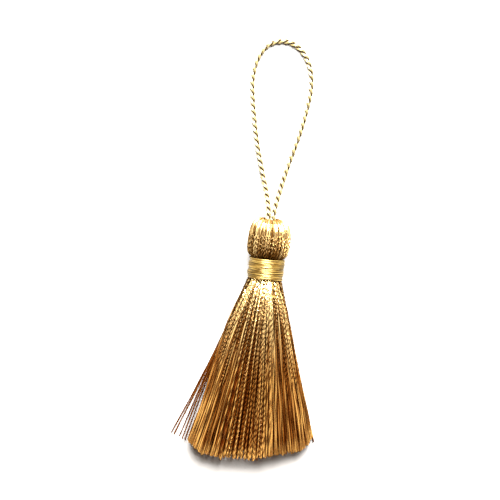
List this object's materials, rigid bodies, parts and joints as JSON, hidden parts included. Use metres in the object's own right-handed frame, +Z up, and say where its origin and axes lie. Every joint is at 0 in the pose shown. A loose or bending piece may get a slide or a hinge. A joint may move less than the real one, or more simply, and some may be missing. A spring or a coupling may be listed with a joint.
{
  "type": "tassel",
  "caption": "Small silky tassel lying on its side: folded yarn head, wound neck binding, fanned skirt and a twisted cord loop to hang it by.",
  "frame": {"origin": "on the surface, under the middle of the box round the head, binding and skirt, the hanging loop left out", "axes": "+Z up from the surface that the tassel lies on, +Y along its axis from the skirt toward the head and loop, +X to the right seen from above with the loop at the top"},
  "size_m": [0.0422, 0.128, 0.0123],
  "materials": {
    "skirt_yarn": "silky twisted yarn, antique gold, bright along each thread",
    "binding_thread": "fine silky thread wound side by side, gold",
    "loop_cord": "two-ply twisted silky cord, pale gold"
  },
  "bodies": {
    "root": {"yarn_head_and_skirt": "skirt_yarn", "neck_binding": "binding_thread", "hanging_loop": "loop_cord"}
  },
  "joints": []
}
